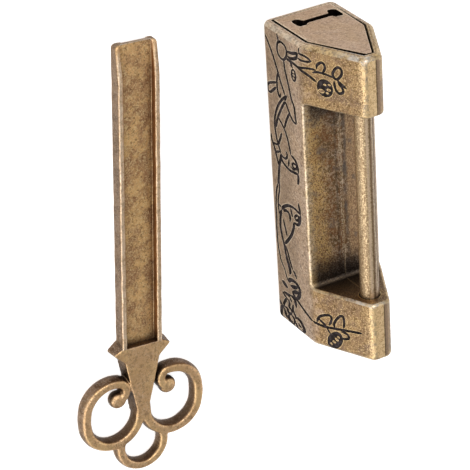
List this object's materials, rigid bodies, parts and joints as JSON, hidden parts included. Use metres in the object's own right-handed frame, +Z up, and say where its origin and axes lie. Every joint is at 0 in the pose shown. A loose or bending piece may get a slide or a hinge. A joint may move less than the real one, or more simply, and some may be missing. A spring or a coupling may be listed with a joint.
{
  "type": "splitting spring padlock with key",
  "caption": "House-shaped cast padlock with a straight shackle rod over an open gap, a sliding bolt with splayed spring leaves, and a flat slide-in key with a scrolled bow.",
  "frame": {"origin": "centre of the lock body's flat base, on the surface that the lock and its key lie on", "axes": "+X along the body from the keyhole end to the end where the bolt slides out, +Y from the engraved front to the back, +Z up towards the shackle rod"},
  "size_m": [0.1018, 0.0694, 0.0297],
  "materials": {
    "cast_bronze": "antiqued cast, fine sandblast grain, worn bright edges",
    "plate_bronze": "antiqued satin",
    "rod_bronze": "antiqued satin, rubbed bright on top",
    "key_bronze": "antiqued satin, rubbed bright on the edges",
    "spring_brass": "cold rolled"
  },
  "bodies": {
    "lock": {"lock_body": "cast_bronze", "keyhole_plate": "plate_bronze"},
    "bolt": {"bolt_plate": "plate_bronze", "shackle_rod": "rod_bronze", "bolt_stem": "rod_bronze", "leaf_rivets": "spring_brass", "spring_leaf_front": "spring_brass", "spring_leaf_back": "spring_brass"},
    "key": {"key": "key_bronze"}
  },
  "joints": [
    {"name": "bolt_slide", "type": "slide", "parent": "lock", "child": "bolt", "axis": [1, 0, 0], "range_m": [0, 0.056], "deforming": ["spring_leaf_front", "spring_leaf_back"]},
    {"name": "key_lift", "type": "slide", "parent": "lock", "child": "key", "axis": [0, 0, 1], "range_m": [0, 0.05]}
  ]
}
